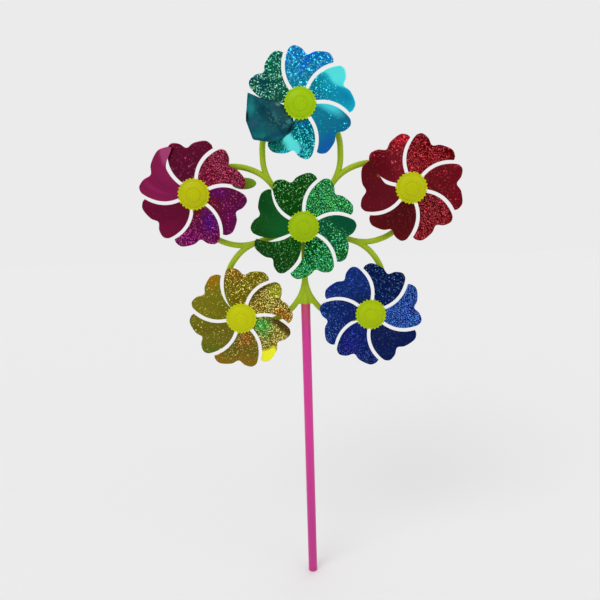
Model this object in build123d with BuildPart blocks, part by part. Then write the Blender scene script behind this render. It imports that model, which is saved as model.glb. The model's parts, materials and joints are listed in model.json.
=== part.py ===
"""Wind spinner: six film pinwheels on a moulded frame of five loops, carried by a tube stick.

Millimetres, +Z up.  The origin is the centre of the stick's lower end and the wheels face -Y.
"Forward" below is the distance towards -Y from the plane that holds the frame's rods, and a
wheel's own angles run clockwise from straight up, as seen from the front.
"""
from build123d import *
import os
from math import asin, cos, degrees, radians, sin, sqrt

# Overall layout
STICK_LENGTH = 300.0
STICK_TOP_DROP = 78.5  # from the middle hub down to the stick's upper end
CENTRE_Z = STICK_LENGTH + STICK_TOP_DROP
HUB_R = 110.0  # from the middle hub to an outer hub
TOP_HUB_R = 115.0  # the top loop is a little longer than the other four
LOOP_COUNT = 5
LOOP_PITCH = 360.0 / LOOP_COUNT
FIRST_HUB_ANGLE = 18.0  # the right-hand hub, above the horizontal

# Frame moulding
ROD_D = 5.8
SPOKE_LENGTH = 50.0  # from the middle hub to where two loops part
CREST_RUN = 2.0  # straight run along the crest of a loop's side, longer on the top loop
SHOULDER_ANGLE = 40.0  # heading at which a loop's wide arc hands over to the tight one
BOSS_D = 10.0
BOSS_LENGTH = 7.0
WEB_T = 4.4  # plate that fills the fork above the stick
SPIGOT_LENGTH = 19.0
STEM_TAPER = 12.0  # how far the spigot runs up into the fork, narrowing to a rod
LUG_LENGTH = 24.0  # rounded lug on a short stalk, inside the left loop
LUG_WIDTH = 11.4
LUG_T = 5.0
LUG_ROUND = 1.8
LUG_PLACE = (-57.0, 42.9)  # from the middle hub
LUG_STALK_D = 4.4
LUG_STALK_HEADING = 20.0  # how far past the wide arc's crest the stalk leaves the rod

# Stick
STICK_D = 9.4
STICK_WALL = 0.8

# Axle pin, spacer and rear hub
PIN_D = 3.0
PIN_HEAD_D = 6.0
PIN_HEAD_T = 1.3
PIN_HEAD_ROUND = 0.5
PIN_TAIL_CHAMFER = 0.4
PIN_TAIL = 1.2  # how far the tail stands out behind the boss
SPACER_D = 6.4
SPACER_LENGTH = 7.0
SPACER_BORE_PLAY = 0.05
RUNNING_PLAY = 0.075  # radial, rear hub on pin
END_PLAY = 0.3  # axial, on each side of the turning wheel
THRUST_RING_D = 7.0
THRUST_RING_T = 0.3
REAR_FLANGE_D = 23.0
REAR_FLANGE_T = 1.4
NECK_D = 7.8
NECK_LENGTH = 2.2

# Film wheel
FILM_T = 0.3
FILM_BORE_PLAY = 0.1
PETALS = 6
PETAL_PITCH = 360.0 / PETALS
SLOT_WIDTH = 3.4
SLOT_START_R = 13.0
SLOT_BEND_R = 18.0  # the slots run straight out to here, then sweep round
SLOT_SWEEP_R = 32.0
SLOT_SWEEP_ANGLE = 85.0
# One petal's rim, slot to slot: (angle, radius) over a round lobe, a notch and a long lobe
PETAL_RIM = (
    (16.5, 44.8),
    (19.5, 47.4),
    (28.0, 51.5),
    (36.0, 48.7),
    (43.5, 43.8),
    (52.0, 48.0),
    (64.5, 51.5),
    (73.5, 49.3),
    (76.5, 44.8),
)

# Flower cap
TEETH = 26
TOOTH_CENTRE_R = 14.3  # circle on which the teeth's rounds are centred
TOOTH_R = 1.2
VALLEY_R = 0.75
TOOTH_ROUND = 0.35
CAP_RIM_T = 2.2
DOME_D = 24.4
DOME_STEP = 0.5
DOME_RISE = 2.8
DOME_RING_R = 6.5  # a plain raised ring on the dome
DOME_RING_T = 0.9
CAP_POCKET_DEPTH = 4.2

# Where each wheel sits, how far it is turned clockwise at rest, and which way it is cut
WHEELS = {
    "right": {"hub_angle": FIRST_HUB_ANGLE, "hub_r": HUB_R, "turn": 43.0, "reversed": False},
    "top": {
        "hub_angle": FIRST_HUB_ANGLE + LOOP_PITCH,
        "hub_r": TOP_HUB_R,
        "turn": 27.0,
        "reversed": False,
    },
    "left": {
        "hub_angle": FIRST_HUB_ANGLE + 2 * LOOP_PITCH,
        "hub_r": HUB_R,
        "turn": 11.0,
        "reversed": False,
    },
    "bottom_left": {
        "hub_angle": FIRST_HUB_ANGLE + 3 * LOOP_PITCH,
        "hub_r": HUB_R,
        "turn": 22.5,
        "reversed": False,
    },
    "bottom_right": {
        "hub_angle": FIRST_HUB_ANGLE + 4 * LOOP_PITCH,
        "hub_r": HUB_R,
        "turn": 6.5,
        "reversed": True,
    },
    "centre": {"hub_angle": 0.0, "hub_r": 0.0, "turn": 2.5, "reversed": False},
}

# Worked out from the sizes above: the stack along each axle, as forward distances
ROD_R = ROD_D / 2
SPIGOT_R = STICK_D / 2 - STICK_WALL
BOSS_FRONT = BOSS_LENGTH / 2
SPACER_FRONT = BOSS_FRONT + SPACER_LENGTH
THRUST_BACK = SPACER_FRONT + END_PLAY
FLANGE_BACK = THRUST_BACK + THRUST_RING_T
FILM_BACK = FLANGE_BACK + REAR_FLANGE_T
CAP_BACK = FILM_BACK + FILM_T
NECK_FRONT = FILM_BACK + NECK_LENGTH
PIN_HEAD_BACK = NECK_FRONT + END_PLAY
RIM_FRONT = CAP_BACK + CAP_RIM_T
DOME_FOOT = RIM_FRONT + DOME_STEP
DOME_BALL_R = (DOME_D**2 / 4 + DOME_RISE**2) / (2 * DOME_RISE)
ring_height = sqrt(DOME_BALL_R**2 - DOME_RING_R**2)

# The cap's outline: each tooth's round meets the hollow of the valley beside it
half_tooth = radians(180.0 / TEETH)
valley_off = TOOTH_CENTRE_R * sin(half_tooth)
valley_centre_r = TOOTH_CENTRE_R * cos(half_tooth) + sqrt((TOOTH_R + VALLEY_R) ** 2 - valley_off**2)
tooth_share = TOOTH_R / (TOOTH_R + VALLEY_R)
corner_x = TOOTH_CENTRE_R + tooth_share * (valley_centre_r * cos(half_tooth) - TOOTH_CENTRE_R)
corner_y = tooth_share * valley_centre_r * sin(half_tooth)

# The two arc radii of a loop's side, such that it passes squarely through its hub
spoke_heading = radians(LOOP_PITCH / 2)
shoulder_heading = radians(SHOULDER_ANGLE)
spoke_end = (SPOKE_LENGTH * cos(spoke_heading), SPOKE_LENGTH * sin(spoke_heading))
wide_reach = sin(spoke_heading) + sin(shoulder_heading)
wide_rise = cos(shoulder_heading) - cos(spoke_heading)
tight_reach = 1 - sin(shoulder_heading)
tight_rise = -cos(shoulder_heading)
gap_reach = HUB_R - CREST_RUN - spoke_end[0]
gap_rise = -spoke_end[1]
determinant = wide_reach * tight_rise - tight_reach * wide_rise
WIDE_R = (gap_reach * tight_rise - tight_reach * gap_rise) / determinant
TIGHT_R = (wide_reach * gap_rise - wide_rise * gap_reach) / determinant

os.makedirs("parts", exist_ok=True)


def hub_place(wheel):
    """A wheel's hub in the frame's plane, as (x, z)."""
    direction = radians(wheel["hub_angle"])
    return wheel["hub_r"] * cos(direction), CENTRE_Z + wheel["hub_r"] * sin(direction)


def across(forward):
    """The plane across a wheel's axle at a forward distance, with its own y up."""
    return Plane.XZ.offset(forward)


def rim_point(angle, radius):
    """A point of the film's outline, from its clockwise angle past a slot and its radius."""
    return radius * sin(radians(angle)), radius * cos(radians(angle))


# Frame: one loop is a rod that leaves its spoke, goes round past its hub and comes back
loops = {}
for hub_r in (HUB_R, TOP_HUB_R):
    with BuildPart() as loop_side:
        with BuildLine(Plane.XZ) as loop_run:
            spoke = Line((ROD_R * cos(spoke_heading), ROD_R * sin(spoke_heading)), spoke_end)
            rise = JernArc(spoke @ 1, spoke % 1, WIDE_R, -LOOP_PITCH / 2)
            crest_run = PolarLine(rise @ 1, CREST_RUN + hub_r - HUB_R, 0)
            fall = JernArc(crest_run @ 1, crest_run % 1, WIDE_R, -SHOULDER_ANGLE)
            JernArc(fall @ 1, fall % 1, TIGHT_R, -(90 - SHOULDER_ANGLE))
        with BuildSketch(Plane(origin=loop_run.line @ 0, z_dir=loop_run.line % 0)):
            Circle(ROD_R)
        sweep()
        # neighbouring loops meet on the plane through their shared spoke
        split(
            bisect_by=Plane(
                origin=(0, 0, 0),
                x_dir=(0, 1, 0),
                z_dir=(sin(spoke_heading), 0, -cos(spoke_heading)),
            ),
            keep=Keep.TOP,
        )
        mirror(about=Plane.XY)
    loops[hub_r] = loop_side.part

# Lug inside the left loop: a rounded plate on a stalk from the loop's upper rod
fall_centre = Vector(
    spoke_end[0] + WIDE_R * sin(spoke_heading) + CREST_RUN,
    spoke_end[1] - WIDE_R * cos(spoke_heading),
)
stalk_foot = fall_centre + Vector(0, WIDE_R).rotate(Axis.Z, -LUG_STALK_HEADING)
left_direction = WHEELS["left"]["hub_angle"]
stalk_foot = Vector(stalk_foot.X, -stalk_foot.Y).rotate(Axis.Z, left_direction)
with BuildPart() as lug:
    with BuildSketch(Plane.XZ.offset(-LUG_T / 2)):
        with Locations(LUG_PLACE):
            Ellipse(LUG_LENGTH / 2, LUG_WIDTH / 2)
    extrude(amount=LUG_T)
    fillet(lug.edges(), LUG_ROUND)
    with BuildLine(Plane.XZ) as stalk_run:
        Line((stalk_foot.X, stalk_foot.Y), LUG_PLACE)
    with BuildSketch(Plane(origin=stalk_run.line @ 0, z_dir=stalk_run.line % 0)):
        Circle(LUG_STALK_D / 2)
    sweep()

with BuildPart() as frame:
    for wheel in WHEELS.values():
        if wheel["hub_r"] > 0:
            with Locations(Location((0, 0, CENTRE_Z), (0, -wheel["hub_angle"], 0))):
                add(loops[wheel["hub_r"]])
    with Locations((0, 0, CENTRE_Z)):
        add(lug.part)
    # web in the fork above the stick, bounded by the two loops that meet there
    fork_sweep = degrees(asin((STICK_TOP_DROP - SPOKE_LENGTH) / WIDE_R))
    with BuildSketch(Plane.XZ.offset(-WEB_T / 2)):
        with BuildLine():
            fork_left = JernArc((0, CENTRE_Z - SPOKE_LENGTH), (0, -1), WIDE_R, -fork_sweep)
            fork_right = JernArc((0, CENTRE_Z - SPOKE_LENGTH), (0, -1), WIDE_R, fork_sweep)
            Line(fork_left @ 1, fork_right @ 1)
        make_face()
    extrude(amount=WEB_T)
    # stem: a spigot inside the stick that narrows as it runs up into the fork
    with BuildSketch(Plane.XY.offset(STICK_LENGTH - SPIGOT_LENGTH)):
        Circle(SPIGOT_R)
    extrude(amount=SPIGOT_LENGTH)
    with Locations((0, 0, STICK_LENGTH)):
        Cone(SPIGOT_R, ROD_R, STEM_TAPER, align=(Align.CENTER, Align.CENTER, Align.MIN))
    # bosses that hold the axle pins
    hubs = [hub_place(wheel) for wheel in WHEELS.values()]
    with BuildSketch(across(-BOSS_FRONT)):
        with Locations(*hubs):
            Circle(BOSS_D / 2)
    extrude(amount=BOSS_LENGTH)
    with BuildSketch(across(-BOSS_FRONT)):
        with Locations(*hubs):
            Circle(PIN_D / 2)
    extrude(amount=BOSS_LENGTH, mode=Mode.SUBTRACT)
frame.part.label = "frame"
export_step(frame.part, "parts/frame.step")

# Stick: an open tube pushed over the frame's spigot
with BuildPart() as stick:
    with BuildSketch(Plane.XY):
        Circle(STICK_D / 2)
        Circle(SPIGOT_R, mode=Mode.SUBTRACT)
    extrude(amount=STICK_LENGTH)
stick.part.label = "stick"
export_step(stick.part, "parts/stick.step")


# The wheel's pieces, each made on the world's Y axis and then set on every hub

# Axle pin: its tail is pressed in the boss, its head keeps the wheel on
with BuildPart() as axle_pin:
    with BuildSketch(across(-BOSS_FRONT - PIN_TAIL)):
        Circle(PIN_D / 2)
    extrude(amount=BOSS_FRONT + PIN_TAIL + PIN_HEAD_BACK)
    with BuildSketch(across(PIN_HEAD_BACK)):
        Circle(PIN_HEAD_D / 2)
    extrude(amount=PIN_HEAD_T)
    fillet(axle_pin.edges().filter_by(GeomType.CIRCLE).sort_by(Axis.Y)[0], PIN_HEAD_ROUND)
    chamfer(axle_pin.edges().filter_by(GeomType.CIRCLE).sort_by(Axis.Y)[-1], PIN_TAIL_CHAMFER)

# Spacer: a tube on the pin that holds the wheel clear of the frame's rods
with BuildPart() as spacer:
    with BuildSketch(across(BOSS_FRONT)):
        Circle(SPACER_D / 2)
        Circle(PIN_D / 2 + SPACER_BORE_PLAY, mode=Mode.SUBTRACT)
    extrude(amount=SPACER_LENGTH)

# Rear hub: thrust ring, flange behind the film, and a neck through it into the cap
with BuildPart() as rear_hub:
    with BuildSketch(across(THRUST_BACK)):
        Circle(THRUST_RING_D / 2)
    extrude(amount=THRUST_RING_T)
    with BuildSketch(across(FLANGE_BACK)):
        Circle(REAR_FLANGE_D / 2)
    extrude(amount=REAR_FLANGE_T)
    with BuildSketch(across(FILM_BACK)):
        Circle(NECK_D / 2)
    extrude(amount=NECK_LENGTH)
    with BuildSketch(across(THRUST_BACK)):
        Circle(PIN_D / 2 + RUNNING_PLAY)
    extrude(amount=NECK_FRONT - THRUST_BACK, mode=Mode.SUBTRACT)

# Film wheel: six petals, parted by slots that sweep round towards the rim
with BuildPart() as film:
    with BuildSketch(across(FILM_BACK)):
        for petal in range(PETALS):
            past = petal * PETAL_PITCH
            with BuildLine():
                rim = Spline(*[rim_point(past + angle, radius) for angle, radius in PETAL_RIM])
                Line((0, 0), rim @ 0)
                Line(rim @ 1, (0, 0))
            make_face()
        for petal in range(PETALS):
            past = petal * PETAL_PITCH
            with BuildLine():
                inner = rim_point(past, SLOT_START_R)
                straight = Line(inner, rim_point(past, SLOT_BEND_R))
                JernArc(straight @ 1, straight % 1, SLOT_SWEEP_R, -SLOT_SWEEP_ANGLE)
            trace(line_width=SLOT_WIDTH, mode=Mode.SUBTRACT)
        Circle(NECK_D / 2 + FILM_BORE_PLAY, mode=Mode.SUBTRACT)
    extrude(amount=FILM_T)

# The same film cut the other way round
with BuildPart() as film_reversed:
    add(film.part)
    mirror(about=Plane.YZ, mode=Mode.REPLACE)

# Flower cap: a toothed rim, a low dome, and a pocket for the neck and the pin's head
with BuildPart() as flower_cap:
    with BuildSketch(across(CAP_BACK)):
        with BuildLine():
            for tooth in range(TEETH):
                middle = 360.0 * tooth / TEETH
                valley = Vector(valley_centre_r - VALLEY_R, 0).rotate(Axis.Z, middle + 180.0 / TEETH)
                next_corner = Vector(corner_x, -corner_y).rotate(Axis.Z, middle + 360.0 / TEETH)
                tip = ThreePointArc(
                    Vector(corner_x, -corner_y).rotate(Axis.Z, middle),
                    Vector(TOOTH_CENTRE_R + TOOTH_R, 0).rotate(Axis.Z, middle),
                    Vector(corner_x, corner_y).rotate(Axis.Z, middle),
                )
                ThreePointArc(tip @ 1, valley, next_corner)
        make_face()
    extrude(amount=CAP_RIM_T)
    fillet(flower_cap.faces().sort_by(Axis.Y)[0].outer_wire().edges(), TOOTH_ROUND)
    with BuildSketch(Plane(origin=(0, 0, 0), x_dir=(1, 0, 0), z_dir=(0, 0, -1))):
        with BuildLine():
            foot = Line((DOME_D / 2, RIM_FRONT - DOME_STEP), (DOME_D / 2, DOME_FOOT))
            crown = (0, DOME_FOOT + DOME_RISE)
            RadiusArc(foot @ 1, crown, -DOME_BALL_R)
            Polyline(crown, (0, RIM_FRONT - DOME_STEP), foot @ 0)
        make_face()
        with Locations((DOME_RING_R, DOME_FOOT + DOME_RISE - DOME_BALL_R + ring_height)):
            Circle(DOME_RING_T / 2)
    revolve(axis=Axis.Y)
    with BuildSketch(across(CAP_BACK)):
        Circle(NECK_D / 2)
    extrude(amount=CAP_POCKET_DEPTH, mode=Mode.SUBTRACT)

for name, wheel in WHEELS.items():
    x, z = hub_place(wheel)
    pieces = {
        "axle_pin": axle_pin,
        "spacer": spacer,
        "rear_hub": rear_hub,
        "film": film_reversed if wheel["reversed"] else film,
        "flower_cap": flower_cap,
    }
    for piece, shape in pieces.items():
        with BuildPart() as placed:
            with Locations(Location((x, 0, z), (0, wheel["turn"], 0))):
                add(shape.part)
        placed.part.label = name + "_" + piece
        export_step(placed.part, "parts/" + name + "_" + piece + ".step")
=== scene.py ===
"""Wind spinner: the looks of its six holographic film wheels, lime frame and pink stick."""
import json
import math
import random

import bpy
import numpy as np
from mathutils import Matrix, Vector


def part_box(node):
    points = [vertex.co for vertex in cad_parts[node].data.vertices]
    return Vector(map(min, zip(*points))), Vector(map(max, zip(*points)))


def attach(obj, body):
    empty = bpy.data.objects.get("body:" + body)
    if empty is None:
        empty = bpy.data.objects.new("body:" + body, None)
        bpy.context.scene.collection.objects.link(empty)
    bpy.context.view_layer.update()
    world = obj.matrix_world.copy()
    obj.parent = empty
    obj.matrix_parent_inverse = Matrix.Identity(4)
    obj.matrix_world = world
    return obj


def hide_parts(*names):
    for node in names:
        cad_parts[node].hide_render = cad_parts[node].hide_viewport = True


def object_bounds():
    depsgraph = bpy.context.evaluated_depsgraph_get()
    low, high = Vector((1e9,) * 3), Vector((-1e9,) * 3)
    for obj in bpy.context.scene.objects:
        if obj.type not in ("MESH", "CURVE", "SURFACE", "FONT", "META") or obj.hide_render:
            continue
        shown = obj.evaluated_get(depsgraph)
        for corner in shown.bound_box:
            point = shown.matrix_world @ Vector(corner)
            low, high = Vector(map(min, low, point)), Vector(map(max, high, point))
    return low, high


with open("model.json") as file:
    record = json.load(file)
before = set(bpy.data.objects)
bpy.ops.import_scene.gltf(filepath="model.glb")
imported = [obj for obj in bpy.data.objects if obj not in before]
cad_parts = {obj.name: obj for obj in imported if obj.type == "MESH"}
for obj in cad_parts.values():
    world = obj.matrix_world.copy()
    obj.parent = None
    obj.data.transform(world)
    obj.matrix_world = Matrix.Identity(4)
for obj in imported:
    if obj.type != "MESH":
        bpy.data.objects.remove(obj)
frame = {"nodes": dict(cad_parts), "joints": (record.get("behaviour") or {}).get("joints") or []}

cad_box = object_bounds()
MM = 0.001

# The film as it is cut, in millimetres. A petal's rim is smooth through points given as
# degrees clockwise past its left slot and millimetres from the hub.
PETALS = 6
PETAL_PITCH = 360.0 / PETALS
SLOT_HALF_WIDTH = 1.7
SLOT_START_R = 13.0
SLOT_BEND_R = 18.0
SLOT_SWEEP_R = 32.0
SLOT_LONGEST_TURN = math.radians(80)
LEFT_CORNER_R = 46.6
RIGHT_CORNER_R = 47.2
RIM = ((22.0, 49.4), (28.0, 51.5), (36.0, 48.7), (43.5, 43.8), (52.0, 48.0), (64.5, 51.5), (72.0, 49.9))
NECK_R = 4.0
FILM_T = 0.16
# Its petals bend from the clamp's edge, CLAMP_R, and bend in full BEND_LENGTH further out
CLAMP_R = 15.5
BEND_LENGTH = 36.0
# A petal's mesh: how many faces it has across and along
ACROSS = 34
ALONG = 30
# The film's pattern: the size of sheet that the UVs cover, and its cells along one side
SHEET_MM = 100.0
CELLS = 78.0
MIRROR_LEVEL = 0.80  # brightness of the surroundings that the plain film mirrors
GLEAM = 1.5  # how much brighter the sequins in a glint are than its plain film
# How far the sequins of each film differ in hue, as a share of the colour circle
HUE_SPREAD = {
    "top": 0.14, "left": 0.07, "right": 0.03, "centre": 0.12, "bottom_left": 0.09, "bottom_right": 0.06,
}
# Each cap and rear hub: its lighter and darker tone. A separate program fitted these twelve
# colours to the photograph, and they were then rounded.
CAP_COLOURS = {
    "top": ("a4cc00", "98bc00"),
    "left": ("c0c000", "b4b800"),
    "right": ("c0c400", "b4b800"),
    "centre": ("a0c000", "94b400"),
    "bottom_left": ("c4c800", "bcc000"),
    "bottom_right": ("acc400", "a0b800"),
}
# The frame's lug: the middle of its plate from the middle hub, and where the painted shade that
# gives it a deeper green begins to fade and has gone, all in metres
LUG_RIGHT, LUG_UP = -0.058, 0.043
LUG_SHADE_FULL, LUG_SHADE_GONE = 0.009, 0.017
SPIGOT_TINT = 0.030  # how far down the stick the green inside it tints the pink


def linear(code):
    """A linear RGB colour from its six-digit sRGB code."""
    parts = [int(code[i:i + 2], 16) / 255 for i in (0, 2, 4)]
    return [c / 12.92 if c <= 0.04045 else ((c + 0.055) / 1.055) ** 2.4 for c in parts]


# Each wheel: where its first slot starts (degrees clockwise from the top), which way it
# sweeps (-1 is a mirrored wheel), and its petals clockwise from that slot, or anticlockwise on
# the mirrored wheel. Each petal: plain colour near the hub, plain colour at the rim, sequin
# colour (each is the film's own hue with that petal's painted reflection and painted shade
# in it), sequins near the hub and at the rim (0 to 1), forward lift of the rim, and lift of
# the long lobe over the round one (mm).
# The colours and amounts of sequins aren't chosen by hand: a separate program fitted them to
# each petal's average colour and sparkle in the photograph, and another one rounded them.
WHEELS = {
    "top": {"turn": 27.0, "sweep": 1, "petals": (
        ("1068a0", "1cd0e0", "4cfcdc", 0.55, 0.10, 2.0, 2.0),
        ("1884a0", "147094", "2cf8fc", 0.15, 0.15, 2.5, -2.0),
        ("086874", "088090", "4cfcfc", 0.35, 1.00, 1.5, 3.0),
        ("1c4448", "10505c", "547878", 0.30, 0.05, 9.0, -2.0),
        ("18684c", "08505c", "94e0bc", 0.50, 0.60, 1.0, 2.5),
        ("1498b0", "0480d8", "58b8d0", 0.65, 0.70, 2.0, 2.0),
    )},
    "left": {"turn": 11.0, "sweep": 1, "petals": (
        ("881038", "700420", "a44864", 0.75, 1.00, 1.0, 2.5),
        ("701820", "5c1448", "b04c88", 0.30, 0.25, 1.5, 2.0),
        ("681c20", "681054", "b04888", 0.25, 0.70, 2.0, 2.0),
        ("641430", "701438", "783050", 0.05, 0.15, 1.0, 2.0),
        ("882050", "801c48", "b82850", 0.05, 0.05, 5.5, 4.0),
        ("601434", "681430", "8c4058", 0.30, 0.20, 0.5, 2.0),
    )},
    "right": {"turn": 43.0, "sweep": 1, "petals": (
        ("70181c", "781420", "8c2c38", 0.55, 0.30, 1.5, 2.0),
        ("440408", "800810", "ac4048", 0.95, 0.85, 1.0, 3.0),
        ("501418", "5c1418", "782c30", 0.40, 0.10, 1.5, 2.0),
        ("681824", "60141c", "a02c3c", 0.10, 0.15, 2.5, 2.0),
        ("801c2c", "841820", "a8484c", 0.15, 0.75, 1.0, 2.5),
        ("880c10", "680404", "b4404c", 1.00, 0.65, 2.0, 2.0),
    )},
    "centre": {"turn": 2.5, "sweep": 1, "petals": (
        ("045c04", "046020", "54c078", 1.00, 1.00, 1.0, 2.5),
        ("105c38", "186828", "60c898", 0.30, 0.55, 2.0, 2.0),
        ("04340c", "048020", "58c088", 0.45, 1.00, 1.5, 2.0),
        ("10500c", "184018", "449044", 0.50, 0.35, 1.0, 2.5),
        ("14602c", "184818", "288840", 0.05, 0.20, 3.0, 2.0),
        ("104810", "105010", "60a460", 0.20, 0.60, 0.5, 2.0),
    )},
    "bottom_left": {"turn": 22.5, "sweep": 1, "petals": (
        ("886804", "504c04", "d8cc70", 0.80, 1.00, 1.0, 2.5),
        ("304404", "8c8008", "d8cc80", 0.85, 0.75, 1.5, 2.5),
        ("4c5814", "846418", "a8b060", 0.95, 0.10, 1.0, 2.0),
        ("686018", "706c18", "a0a058", 0.25, 0.30, 2.0, 2.0),
        ("6c6814", "78741c", "c8c450", 0.25, 0.30, 2.5, 2.0),
        ("706008", "786c04", "ccc468", 0.40, 0.70, 0.5, 2.0),
    )},
    "bottom_right": {"turn": 6.5, "sweep": -1, "petals": (
        ("142860", "183484", "304c90", 0.50, 0.60, 1.0, 2.5),
        ("10205c", "103078", "485c94", 0.20, 0.55, 2.0, 2.0),
        ("142474", "082054", "3c5094", 0.20, 0.85, 2.0, 2.0),
        ("142050", "101c50", "384c6c", 0.35, 0.15, 1.5, 2.0),
        ("042090", "041470", "5080d0", 1.00, 1.00, 1.0, 2.5),
        ("0c2054", "081848", "547094", 0.30, 0.35, 1.0, 2.5),
    )},
}

# Where a petal catches a light (a painted highlight), turns another hue or lies in shade (painted
# shade), mixed into the film's colours: (across, along, reach across, reach along, colour, share,
# hardness of its edge, how far it hides the sequins); across runs from the petal's left slot to
# its right one, or the other way on the mirrored wheel, and along from hub to rim. Many places
# were measured in the photograph, and the colours are rounded by a program.
GLINTS = {
    ("top", 0): (
        (0.14, 0.98, 0.44, 0.44, "58f4ec", 1.0, 5, 1.0),
        (0.75, 0.80, 0.45, 0.45, "1064a8", 0.7, 1, 0.7),
        (0.15, 0.25, 0.30, 0.25, "1c9080", 0.5, 1, 0.0),
    ),
    ("top", 1): (
        (0.00, 0.40, 0.34, 0.45, "48e0ec", 0.9, 1.6, 0.9),
        (0.80, 0.90, 0.35, 0.40, "1854b8", 0.8, 1, 0.7),
    ),
    ("top", 2): (
        (0.90, 0.50, 0.14, 0.16, "64f0f0", 1.0, 4, 1.0),
        (0.78, 0.58, 0.14, 0.15, "60f4ec", 1.0, 4, 1.0),
        (0.66, 0.67, 0.13, 0.15, "60f4ec", 1.0, 4, 1.0),
        (0.54, 0.78, 0.12, 0.15, "60f4ec", 1.0, 4, 1.0),
        (0.44, 0.90, 0.12, 0.14, "60f4ec", 1.0, 4, 1.0),
        (0.90, 0.85, 0.28, 0.30, "0c5c44", 0.8, 2, 0.0),
        (0.35, 0.15, 0.40, 0.22, "1460a8", 0.7, 1, 0.0),
    ),
    ("top", 3): (
        (0.85, 0.90, 0.20, 0.12, "1c7070", 0.9, 1.5, 0.5),
        (0.70, 1.00, 0.08, 0.06, "081014", 0.9, 3, 1.0),
        (0.58, 0.86, 0.09, 0.10, "284858", 0.7, 2, 0.5),
        (0.42, 0.82, 0.15, 0.14, "18686c", 0.9, 2.5, 0.5),
        (0.22, 0.66, 0.15, 0.22, "104050", 0.8, 2, 0.8),
        (0.06, 0.47, 0.06, 0.22, "082030", 0.9, 2, 1.0),
        (0.18, 0.23, 0.10, 0.12, "3c8080", 0.8, 2, 0.3),
        (0.80, 0.36, 0.22, 0.18, "24505c", 0.4, 1.5, -1.6),
        (0.93, 0.24, 0.06, 0.08, "708c94", 0.8, 2, 0.2),
        (0.80, 0.62, 0.09, 0.07, "084048", 0.7, 2, 0.0),
        (0.55, 0.385, 0.26, 0.03, "3c7c84", 0.5, 2, 0.0),
    ),
    ("top", 4): (
        (0.80, 0.80, 0.35, 0.45, "108058", 0.6, 1, 0.0),
        (0.44, 0.70, 0.22, 0.22, "10444c", 0.6, 1, 0.6),
        (0.20, 0.20, 0.50, 0.30, "0c4448", 0.5, 1, 0.5),
    ),
    ("top", 5): ((0.55, 0.70, 0.10, 0.50, "1c58d0", 0.6, 2, 0.5),),
    ("left", 1): (
        (0.22, 0.25, 0.40, 0.40, "5c1078", 0.6, 1, 0.3),
        (0.70, 0.75, 0.40, 0.45, "701058", 0.6, 1, 0.0),
    ),
    ("left", 2): (
        (0.28, 0.42, 0.36, 0.42, "48108c", 0.7, 1, 0.3),
        (0.70, 0.70, 0.35, 0.35, "781060", 0.5, 1, 0.0),
    ),
    ("left", 4): (
        (0.93, 0.88, 0.12, 0.25, "a84878", 0.7, 3, 0.5),
        (0.30, 0.60, 0.07, 0.60, "982860", 0.5, 1.5, 0.4),
        (0.55, 0.50, 0.06, 0.60, "741848", 0.4, 1.5, 0.4),
    ),
    ("right", 0): ((0.75, 0.90, 0.25, 0.25, "700820", 0.5, 1, 0.0),),
    ("right", 3): (
        (0.97, 0.56, 0.05, 0.06, "c05020", 0.9, 2, 1.0),
        (0.98, 0.78, 0.06, 0.30, "401818", 0.7, 2, 1.0),
    ),
    ("right", 4): (
        (0.85, 0.88, 0.28, 0.30, "cc1c30", 0.6, 1, 0.0),
        (0.25, 0.60, 0.42, 0.70, "580c18", 0.7, 1.5, 0.9),
    ),
    ("right", 5): ((0.75, 0.40, 0.30, 0.30, "90141c", 0.5, 1, 0.0),),
    ("centre", 1): ((0.14, 0.78, 0.36, 0.58, "0c5038", 0.9, 1.8, 0.9),),
    ("centre", 4): ((0.80, 0.80, 0.30, 0.40, "0c4820", 0.6, 1, 0.0),),
    ("bottom_left", 0): (
        (0.25, 0.85, 0.25, 0.25, "b4b828", 0.6, 1.5, 0.0),
        (0.95, 0.78, 0.30, 0.35, "a05c10", 0.7, 1.5, 0.0),
        (0.06, 0.55, 0.12, 0.50, "4c4010", 0.7, 2, 0.7),
    ),
    ("bottom_left", 1): (
        (0.90, 0.95, 0.32, 0.27, "f4e830", 1.0, 5, 1.0),
        (0.45, 0.24, 0.50, 0.40, "20b048", 0.9, 1, 0.0),
        (0.12, 0.80, 0.14, 0.60, "483818", 0.9, 2, 0.6),
    ),
    ("bottom_left", 2): ((0.45, 0.22, 0.60, 0.36, "b85c20", 0.6, 1, 0.0),),
    ("bottom_left", 3): ((0.10, 0.85, 0.30, 0.40, "406818", 0.6, 1, 0.0),),
    ("bottom_left", 4): ((0.85, 0.90, 0.30, 0.30, "a86810", 0.7, 1, 0.0),),
    ("bottom_left", 5): ((0.30, 0.90, 0.35, 0.30, "a05818", 0.5, 1, 0.0),),
    ("bottom_right", 2): ((0.40, 0.70, 0.40, 0.40, "241c90", 0.6, 1, 0.0),),
}
# Petals whose right edge is bent over the next one: where that begins and where it is
# complete (mm from the hub), and how far it turns (degrees)
BENT_OVER = {
    ("left", 4): (34.0, 46.0, 12.0),
    ("right", 3): (24.0, 34.0, 6.5),
    ("centre", 4): (18.0, 50.0, 3.0),
}
# A crumpled petal's outline: its left side, rim and right side run straight from crease to
# crease (degrees past the middle of its left slot, mm from the hub). They were measured in
# the photograph and rounded.
CRUMPLED = {
    ("top", 3): (
        ((-9, 19.5), (-9, 26.0), (-1, 31.5), (2, 36.5)),
        ((7, 41.0), (13, 46.0), (27, 55.5), (46, 53.0), (55, 50.5), (66, 49.0)),
        ((63, 17.5), (70, 26.5), (71, 37.5), (74, 47.5), (74, 49.0)),
    ),
}

# The frame's hubs: each wheel's body, and where its joint stands
hubs = {joint["child"]: Vector(joint["pos_m"]) for joint in frame["joints"]}


# ---------------------------------------------------------------- node materials
def new_material(name):
    """An empty node material with its Principled shader."""
    material = bpy.data.materials.new(name)
    material.use_nodes = True
    nodes = material.node_tree.nodes
    return material, nodes, material.node_tree.links, nodes["Principled BSDF"]


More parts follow.
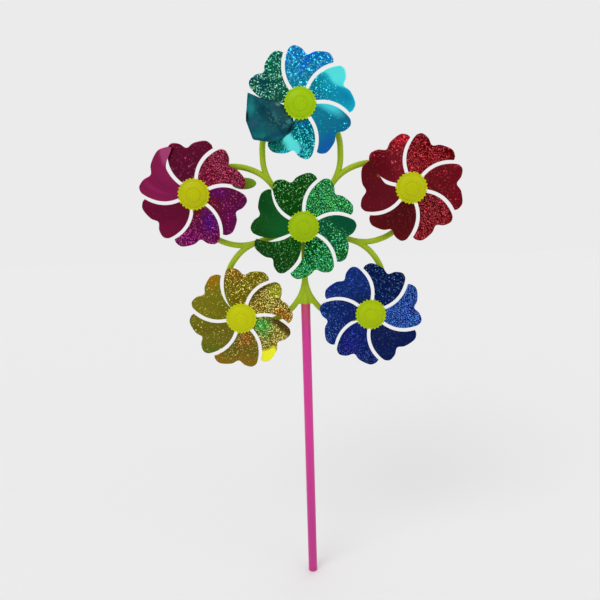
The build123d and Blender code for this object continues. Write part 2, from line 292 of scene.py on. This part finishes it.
def maths(nodes, links, operation, *values, clamp=False):
    """The output of a Math node; each input is a socket or a number."""
    node = nodes.new("ShaderNodeMath")
    node.operation = operation
    node.use_clamp = clamp
    for slot, value in enumerate(values):
        if isinstance(value, (int, float)):
            node.inputs[slot].default_value = value
        else:
            links.new(value, node.inputs[slot])
    return node.outputs[0]


def mix_colour(nodes, links, factor, first, second):
    """The output of a colour Mix node; each input is a socket, a colour or a number."""
    node = nodes.new("ShaderNodeMix")
    node.data_type = "RGBA"
    for slot, value in ((0, factor), (6, first), (7, second)):
        if isinstance(value, (int, float)):
            node.inputs[slot].default_value = value
        elif isinstance(value, (tuple, list)):
            node.inputs[slot].default_value = (*value[:3], 1.0)
        else:
            links.new(value, node.inputs[slot])
    return node.outputs[2]


def noise(nodes, links, vector, scale, detail=3.0):
    """A Noise texture's value over a coordinate."""
    node = nodes.new("ShaderNodeTexNoise")
    node.inputs["Scale"].default_value = scale
    node.inputs["Detail"].default_value = detail
    links.new(vector, node.inputs["Vector"])
    return node.outputs["Fac"]


def bump(nodes, links, height, strength, distance):
    """A Bump node's normal."""
    node = nodes.new("ShaderNodeBump")
    node.inputs["Strength"].default_value = strength
    node.inputs["Distance"].default_value = distance
    links.new(height, node.inputs["Height"])
    return node.outputs["Normal"]


def moulded_plastic(name, colour, shade, roughness=0.34, translucence=0.12, painted_shade_at=None):
    """Moulded polyethylene: waxy, with faint flow marks, and, where asked, painted shade of deeper green
    round one place.
    """
    material, nodes, links, shader = new_material(name)
    place = nodes.new("ShaderNodeTexCoord").outputs["Object"]
    flow = noise(nodes, links, place, 55.0)
    grain = noise(nodes, links, place, 2600.0, 2.0)
    tone = mix_colour(nodes, links, flow, colour, shade)
    # painted shade: a deeper green round the given place, where the lug lies in shade behind a petal
    if painted_shade_at:
        apart = nodes.new("ShaderNodeVectorMath")
        apart.operation = "DISTANCE"
        apart.inputs[1].default_value = painted_shade_at
        links.new(place, apart.inputs[0])
        painted_shade_share = nodes.new("ShaderNodeMapRange")
        painted_shade_share.interpolation_type = "SMOOTHSTEP"
        painted_shade_share.inputs["From Min"].default_value = LUG_SHADE_GONE
        painted_shade_share.inputs["From Max"].default_value = LUG_SHADE_FULL
        links.new(apart.outputs["Value"], painted_shade_share.inputs["Value"])
        tone = mix_colour(nodes, links, painted_shade_share.outputs["Result"], tone, linear("6c9018"))
    links.new(tone, shader.inputs["Base Color"])
    gloss = maths(nodes, links, "MULTIPLY_ADD", grain, 0.14, roughness - 0.07)
    links.new(gloss, shader.inputs["Roughness"])
    height = maths(nodes, links, "ADD", flow, maths(nodes, links, "MULTIPLY", grain, 0.12))
    links.new(bump(nodes, links, height, 0.25, 0.0003), shader.inputs["Normal"])
    shader.inputs["Subsurface Weight"].default_value = translucence
    shader.inputs["Subsurface Radius"].default_value = (0.004, 0.005, 0.001)
    shader.inputs["Subsurface Scale"].default_value = 0.6
    shader.inputs["Specular IOR Level"].default_value = 0.11
    return material


def stick_plastic(name, tint_foot, stick_top):
    """Translucent pink tube, over the green spigot at its upper end."""
    material, nodes, links, shader = new_material(name)
    place = nodes.new("ShaderNodeTexCoord").outputs["Object"]
    split = nodes.new("ShaderNodeSeparateXYZ")
    links.new(place, split.inputs[0])
    tint = nodes.new("ShaderNodeMapRange")
    tint.inputs["From Min"].default_value = tint_foot
    tint.inputs["From Max"].default_value = stick_top + 0.002
    links.new(split.outputs["Z"], tint.inputs["Value"])
    stretched = nodes.new("ShaderNodeMapping")
    stretched.inputs["Scale"].default_value = (1.0, 1.0, 0.04)
    links.new(place, stretched.inputs["Vector"])
    draw_marks = noise(nodes, links, stretched.outputs["Vector"], 900.0, 2.0)
    tone = mix_colour(nodes, links, draw_marks, linear("dc2c9a"), linear("c82486"))
    # painted shade: the pink darkens towards the stick's foot
    painted_foot_shade = nodes.new("ShaderNodeMapRange")
    painted_foot_shade.inputs["From Min"].default_value = 0.06
    painted_foot_shade.inputs["From Max"].default_value = 0.16
    painted_foot_shade.inputs["To Min"].default_value = 1.0
    painted_foot_shade.inputs["To Max"].default_value = 0.0
    links.new(split.outputs["Z"], painted_foot_shade.inputs["Value"])
    tone = mix_colour(nodes, links, painted_foot_shade.outputs["Result"], tone, linear("bc2484"))
    tone = mix_colour(nodes, links, tint.outputs["Result"], tone, linear("c64a5e"))
    links.new(tone, shader.inputs["Base Color"])
    links.new(bump(nodes, links, draw_marks, 0.12, 0.0002), shader.inputs["Normal"])
    shader.inputs["Roughness"].default_value = 0.3
    shader.inputs["Subsurface Weight"].default_value = 0.25
    shader.inputs["Subsurface Radius"].default_value = (0.006, 0.001, 0.003)
    shader.inputs["Subsurface Scale"].default_value = 0.6
    return material


def holographic_film(name, hues):
    """Metallised sequin film: plain mirror between small cells that scatter a brighter hue."""
    material, nodes, links, shader = new_material(name)
    uv = nodes.new("ShaderNodeUVMap")
    uv.uv_map = "film"
    plain = nodes.new("ShaderNodeAttribute")
    plain.attribute_name = "plain"
    fleck = nodes.new("ShaderNodeAttribute")
    fleck.attribute_name = "fleck"
    amount = nodes.new("ShaderNodeAttribute")
    amount.attribute_name = "sequins"
    cells = nodes.new("ShaderNodeTexVoronoi")
    cells.voronoi_dimensions = "2D"
    cells.inputs["Scale"].default_value = CELLS
    cells.inputs["Randomness"].default_value = 0.85
    links.new(uv.outputs["UV"], cells.inputs["Vector"])
    chance = nodes.new("ShaderNodeSeparateColor")
    links.new(cells.outputs["Color"], chance.inputs[0])
    # a cell is lit where its own chance falls under the petal's amount of sequins
    margin = maths(nodes, links, "SUBTRACT", amount.outputs["Fac"], chance.outputs[2])
    lit = maths(nodes, links, "MULTIPLY", margin, 4.0, clamp=True)
    spot = nodes.new("ShaderNodeMapRange")
    spot.interpolation_type = "SMOOTHSTEP"
    spot.inputs["From Min"].default_value = 0.50
    spot.inputs["From Max"].default_value = 0.26
    links.new(cells.outputs["Distance"], spot.inputs["Value"])
    sequin = maths(nodes, links, "MULTIPLY", lit, spot.outputs["Result"])
    # each cell leans to its own hue and brightness
    hue = nodes.new("ShaderNodeHueSaturation")
    own_hue = maths(nodes, links, "MULTIPLY_ADD", chance.outputs[0], hues, 0.5 - hues / 2)
    own_level = maths(nodes, links, "MULTIPLY_ADD", chance.outputs[1], 0.9, 0.45)
    links.new(own_hue, hue.inputs["Hue"])
    links.new(own_level, hue.inputs["Value"])
    links.new(fleck.outputs["Color"], hue.inputs["Color"])
    # between lit sequins the film looks darker than where it is plain
    gap = maths(nodes, links, "MULTIPLY", amount.outputs["Fac"], 0.45)
    ground = mix_colour(nodes, links, gap, plain.outputs["Color"], (0.0, 0.0, 0.0))
    tone = mix_colour(nodes, links, sequin, ground, hue.outputs["Color"])
    gloss = maths(nodes, links, "MULTIPLY_ADD", sequin, 0.38, 0.20)
    links.new(tone, shader.inputs["Base Color"])
    links.new(gloss, shader.inputs["Roughness"])
    # cells tilt a little, so that they catch the lights one by one
    tilt = nodes.new("ShaderNodeNormalMap")
    tilt.uv_map = "film"
    how_far = maths(nodes, links, "MULTIPLY", lit, 0.30)
    lean = mix_colour(nodes, links, how_far, (0.5, 0.5, 1.0), cells.outputs["Color"])
    links.new(lean, tilt.inputs["Color"])
    links.new(tilt.outputs["Normal"], shader.inputs["Normal"])
    shader.inputs["Metallic"].default_value = 1.0
    return material


# ---------------------------------------------------------------- film wheels
def polar(angle, radius):
    """A flat point from its clockwise angle and radius: x to the right, z up."""
    return np.array((radius * math.sin(math.radians(angle)), radius * math.cos(math.radians(angle))))


def slot_edge(side, corner_r, steps):
    """One edge of the slot that starts straight up, from its inner end to the rim."""
    points = [np.array((side * SLOT_HALF_WIDTH, r)) for r in np.linspace(SLOT_START_R, SLOT_BEND_R, 6)]
    edge_r = SLOT_SWEEP_R - side * SLOT_HALF_WIDTH
    for turn in np.linspace(0.0, SLOT_LONGEST_TURN, 120)[1:]:
        right, up = SLOT_SWEEP_R - edge_r * math.cos(turn), SLOT_BEND_R + edge_r * math.sin(turn)
        point = np.array((right, up))
        if np.hypot(*point) > corner_r:
            break
        points.append(point)
    return resample(points, steps)


def resample(points, steps):
    """Evenly spaced points along a run of points."""
    points = np.array(points)
    length = np.concatenate(([0.0], np.cumsum(np.hypot(*np.diff(points, axis=0).T))))
    wanted = np.linspace(0.0, length[-1], steps + 1)
    return np.stack([np.interp(wanted, length, points[:, axis]) for axis in (0, 1)], axis=1)


def smooth_run(points, steps):
    """A Catmull-Rom curve through points."""
    points = [2 * points[0] - points[1], *points, 2 * points[-1] - points[-2]]
    run = []
    for a, b, c, d in zip(points, points[1:], points[2:], points[3:]):
        for t in np.linspace(0, 1, 12, endpoint=False):
            squared, cubed = 2 * a - 5 * b + 4 * c - d, 3 * b - a - 3 * c + d
            run.append(0.5 * (2 * b + (c - a) * t + squared * t ** 2 + cubed * t ** 3))
    run.append(points[-2])
    return resample(run, steps)


def turned(points, angle):
    """Flat points turned clockwise about the hub."""
    c, s = math.cos(math.radians(angle)), math.sin(math.radians(angle))
    return points @ np.array(((c, -s), (s, c)))


def flat_petal(creases=None):
    """One petal's grid of flat points, from its left slot to its right one and from hub to rim."""
    left = slot_edge(1, LEFT_CORNER_R, ALONG)
    right = turned(slot_edge(-1, RIGHT_CORNER_R, ALONG), PETAL_PITCH)
    if creases:
        left_run, rim_run, right_run = [[polar(*corner) for corner in run] for run in creases]
        left = resample([left[0], *left_run], ALONG)
        right = resample([right[0], *right_run], ALONG)
        rim = resample([left[-1], *rim_run, right[-1]], ACROSS)
    else:
        rim = smooth_run([left[-1], *[polar(angle, r) for angle, r in RIM], right[-1]], ACROSS)
    start, end = [math.degrees(math.atan2(*edge[0])) for edge in (left, right)]
    root = np.array([polar(angle, SLOT_START_R) for angle in np.linspace(start, end, ACROSS + 1)])
    s = np.linspace(0, 1, ACROSS + 1)[:, None, None]
    t = np.linspace(0, 1, ALONG + 1)[None, :, None]
    sides = (1 - s) * left[None] + s * right[None]
    ends = (1 - t) * root[:, None] + t * rim[:, None]
    corners = (1 - s) * ((1 - t) * root[0] + t * rim[0]) + s * ((1 - t) * root[-1] + t * rim[-1])
    return sides + ends - corners


def crumple(grid):
    """How far a crumpled petal's facets stand forward, in mm: crossing sets of sharp folds."""
    depth = np.zeros(grid.shape[:2])
    for angle, pitch, height, shift in ((15, 17.0, 1.5, 0.1), (75, 23.0, 1.6, 0.4), (130, 13.0, 0.9, 0.7)):
        way = grid @ polar(angle, 1.0) / pitch + shift
        depth += height * np.abs(2 * (way - np.floor(way + 0.5)))
    return depth


def bent_petal(grid, petal, wave, key):
    """The petal's points (x, forward, z) once its film has taken its bend."""
    lift, lean = petal[5:]
    s = np.linspace(0, 1, ACROSS + 1)[:, None]
    reach = np.hypot(grid[..., 0], grid[..., 1])
    free = np.clip((reach - CLAMP_R) / BEND_LENGTH, 0, 1.1)
    forward = lift * free ** 1.6 + lean * (s - 0.5) * free ** 1.3
    forward += 1.1 * np.sin(np.pi * s) * free * (1 - free)
    forward += 0.5 * np.sin(2 * np.pi * (s * wave[0] + wave[1])) * free ** 1.5
    if key in CRUMPLED:
        forward += crumple(grid) * np.clip(4 * free, 0, 1)
    begins, complete, turn = BENT_OVER.get(key, (0.0, 1.0, 0.0))
    share = np.clip((reach - begins) / (complete - begins), 0, 1)
    swing = np.radians(turn * s ** 2 * share ** 2 * (3 - 2 * share))
    x = grid[..., 0] * np.cos(swing) + grid[..., 1] * np.sin(swing)
    z = grid[..., 1] * np.cos(swing) - grid[..., 0] * np.sin(swing)
    return x, forward, z


def petal_finish(petal, glints, across, along):
    """The film's plain colour, sequin colour and amount of sequins at a place on a petal, with the painted
    highlights and painted shade of its glints mixed into the colours.
    """
    tone_in, tone_out, gleam = [np.array(linear(code)) for code in petal[:3]]
    tone = tone_in * (1 - along) + tone_out * along
    amount = petal[3] * (1 - along) + petal[4] * along
    for at_s, at_t, reach_s, reach_t, code, share, hardness, hiding in glints:
        far = math.hypot((across - at_s) / reach_s, (along - at_t) / reach_t)
        part = share * min(1.0, max(0.0, hardness * (1.0 - far)))
        hue = np.array(linear(code))
        tone = tone * (1 - part) + hue * part
        gleam = gleam * (1 - part) + hue * GLEAM * part
        amount *= 1 - hiding * part
    return (*np.clip(tone / MIRROR_LEVEL, 0, 1), 1.0), (*np.clip(gleam / MIRROR_LEVEL, 0, 1), 1.0), amount


def film_surface(name, wheel, dice):
    """One wheel's vertices (place, flat place, plain colour, sequin colour, sequins) and faces."""
    hub = hubs[name + "_wheel"]
    low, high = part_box(name + "_film")
    film_y = (low[1] + high[1]) / 2
    vertices, faces, roots = [], [], []
    for index, petal in enumerate(wheel["petals"]):
        wave = (dice.uniform(0.8, 1.6), dice.random())
        key = (name, index)
        grid = flat_petal(CRUMPLED.get(key))
        x, forward, z = bent_petal(grid, petal, wave, key)
        angle = wheel["turn"] * wheel["sweep"] + index * PETAL_PITCH
        bent = turned(np.stack((x, z), axis=-1).reshape(-1, 2), angle)
        flat = turned(grid.reshape(-1, 2), angle)
        first = len(vertices)
        roots += range(first, first + len(bent), ALONG + 1)
        for k in range(len(bent)):
            across, along = (k // (ALONG + 1)) / ACROSS, (k % (ALONG + 1)) / ALONG
            finish = petal_finish(petal, GLINTS.get(key, ()), across, along)
            place = (
                hub.x + wheel["sweep"] * bent[k][0] * MM,
                film_y - forward.flat[k] * MM,
                hub.z + bent[k][1] * MM,
            )
            vertices.append((place, flat[k] / SHEET_MM + 0.5, *finish))
        for i in range(ACROSS):
            for j in range(ALONG):
                a = first + i * (ALONG + 1) + j
                faces.append((a, a + 1, a + ALONG + 2, a + ALONG + 1))
    # the clamped middle: a ring from the petals' roots in to the neck of the cap
    neck = len(vertices)
    for root in roots:
        place, flat, plain, fleck, _ = vertices[root]
        inwards = NECK_R / SLOT_START_R
        spot = (hub.x + (place[0] - hub.x) * inwards, film_y, hub.z + (place[2] - hub.z) * inwards)
        vertices.append((spot, (flat - 0.5) * inwards + 0.5, plain, fleck, 0.0))
    for k, root in enumerate(roots):
        following = (k + 1) % len(roots)
        faces.append((neck + k, root, roots[following], neck + following))
    if wheel["sweep"] < 0:
        faces = [face[::-1] for face in faces]
    return vertices, faces


def film_wheel(name, wheel, dice):
    """One wheel of film: a flat clamped middle and six bent petals, cut from one thin sheet."""
    vertices, faces = film_surface(name, wheel, dice)
    places, flats, plains, flecks, amounts = zip(*vertices)
    mesh = bpy.data.meshes.new(name + "_film_wheel")
    mesh.from_pydata(places, [], faces)
    layer = mesh.uv_layers.new(name="film")
    for loop in mesh.loops:
        layer.data[loop.index].uv = flats[loop.vertex_index]
    for attribute, colours in (("plain", plains), ("fleck", flecks)):
        data = mesh.attributes.new(attribute, "FLOAT_COLOR", "POINT").data
        data.foreach_set("color", np.array(colours, dtype=np.float32).ravel())
    data = mesh.attributes.new("sequins", "FLOAT", "POINT").data
    data.foreach_set("value", np.array(amounts, dtype=np.float32))
    mesh.polygons.foreach_set("use_smooth", [True] * len(mesh.polygons))
    piece = bpy.data.objects.new(name + "_film_wheel", mesh)
    bpy.context.collection.objects.link(piece)
    piece.data.materials.append(holographic_film(name + "_holographic_film", HUE_SPREAD[name]))
    sheet = piece.modifiers.new("thickness", "SOLIDIFY")
    sheet.thickness = FILM_T * MM
    sheet.offset = 0.0
    sheet.use_rim = True
    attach(piece, name + "_wheel")
    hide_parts(name + "_film")


dice = random.Random(11)
for name, wheel in WHEELS.items():
    film_wheel(name, wheel, dice)


# ---------------------------------------------------------------- carried-over CAD nodes
def dress(node, material):
    """Gives a CAD node its material."""
    piece = frame["nodes"][node]
    piece.data.materials.clear()
    piece.data.materials.append(material)


middle_hub = hubs["centre_wheel"]
# the lug's middle, round which the frame's green is darkened with painted shade
plate = (middle_hub.x + LUG_RIGHT, 0.0, middle_hub.z + LUG_UP)
dress("frame", moulded_plastic("lime_frame_plastic", linear("a9c22c"), linear("99b21c"), painted_shade_at=plate))
stick_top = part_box("stick")[1][2]
dress("stick", stick_plastic("pink_stick_plastic", stick_top - SPIGOT_TINT, stick_top))
pin_plastic = moulded_plastic("pin_plastic", linear("98b028"), linear("88a020"), 0.4, 0.05)
spacer_plastic = moulded_plastic("spacer_plastic", linear("e4e6d8"), linear("d8dccc"), 0.4, 0.2)
for name, (light, shade) in CAP_COLOURS.items():
    cap_plastic = moulded_plastic(name + "_cap_plastic", linear(light), linear(shade), 0.36, 0.15)
    dress(name + "_flower_cap", cap_plastic)
    dress(name + "_rear_hub", cap_plastic)
    dress(name + "_axle_pin", pin_plastic)
    dress(name + "_spacer", spacer_plastic)

# ---------------------------------------------------------------- floor, light and camera
floor_mesh = bpy.data.meshes.new("floor")
floor_mesh.from_pydata([(-3, -3, 0), (3, -3, 0), (3, 3, 0), (-3, 3, 0)], [], [(0, 1, 2, 3)])
floor = bpy.data.objects.new("floor", floor_mesh)
floor.location.z = cad_box[0][2] - 0.0005
bpy.context.collection.objects.link(floor)
floor_material, nodes, links, shader = new_material("pale_floor")
shader.inputs["Base Color"].default_value = (0.80, 0.80, 0.80, 1)
shader.inputs["Roughness"].default_value = 0.9
shader.inputs["Specular IOR Level"].default_value = 0.0
floor.data.materials.append(floor_material)

world = bpy.data.worlds.new("studio")
bpy.context.scene.world = world
world.use_nodes = True
nodes, links = world.node_tree.nodes, world.node_tree.links
room = nodes["Background"]
room.inputs["Strength"].default_value = 0.80
direction = nodes.new("ShaderNodeSeparateXYZ")
links.new(nodes.new("ShaderNodeTexCoord").outputs["Generated"], direction.inputs[0])
height = nodes.new("ShaderNodeMapRange")
height.inputs["From Min"].default_value = -0.35
height.inputs["From Max"].default_value = 0.75
links.new(direction.outputs["Z"], height.inputs["Value"])
sky = mix_colour(nodes, links, height.outputs["Result"], (0.72, 0.72, 0.74), (1.0, 1.0, 1.0))
links.new(sky, room.inputs["Color"])
backdrop = nodes.new("ShaderNodeBackground")
backdrop.inputs["Color"].default_value = (0.83, 0.83, 0.83, 1)
seen = nodes.new("ShaderNodeLightPath")
choose = nodes.new("ShaderNodeMixShader")
links.new(seen.outputs["Is Camera Ray"], choose.inputs[0])
links.new(room.outputs[0], choose.inputs[1])
links.new(backdrop.outputs[0], choose.inputs[2])
links.new(choose.outputs[0], nodes["World Output"].inputs["Surface"])


def soft_light(name, place, spread, power):
    """A far, wide light that shines from a direction on everything alike."""
    light = bpy.data.lights.new(name, "SUN")
    light.angle = math.radians(spread)
    light.energy = power
    lamp = bpy.data.objects.new(name, light)
    lamp.rotation_euler = Vector(place).to_track_quat("Z", "Y").to_euler()
    bpy.context.collection.objects.link(lamp)


soft_light("key", (-0.6, -0.9, 1.1), 35, 0.85)
soft_light("fill", (1.0, -0.8, 0.6), 60, 0.25)
soft_light("back", (0.3, 1.0, 0.5), 60, 0.35)

# The camera's direction, roll and distance, and the middle hub's offset from its line of
# sight, rounded from a fit to the hubs' places in the photograph
AZIMUTH, ELEVATION, ROLL = (math.radians(angle) for angle in (-0.1, 10.6, -1.7))
DISTANCE, OFFSET_RIGHT, OFFSET_UP = 0.596, 0.0034, 0.0737
back = Vector((
    math.sin(AZIMUTH) * math.cos(ELEVATION),
    -math.cos(AZIMUTH) * math.cos(ELEVATION),
    math.sin(ELEVATION),
))
level = Vector((0, 0, 1)).cross(back).normalized()
upright = back.cross(level)
right = math.cos(ROLL) * level + math.sin(ROLL) * upright
up = math.cos(ROLL) * upright - math.sin(ROLL) * level
camera_data = bpy.data.cameras.new("camera")
camera_data.lens = 36.0
camera_data.sensor_width = 36.0
camera = bpy.data.objects.new("camera", camera_data)
spot = Vector((middle_hub.x, 0, middle_hub.z)) - right * OFFSET_RIGHT - up * OFFSET_UP + back * DISTANCE
camera.matrix_world = Matrix.Translation(spot) @ Matrix((right, up, back)).transposed().to_4x4()
bpy.context.collection.objects.link(camera)
bpy.context.scene.camera = camera
bpy.context.scene.view_settings.view_transform = "Standard"
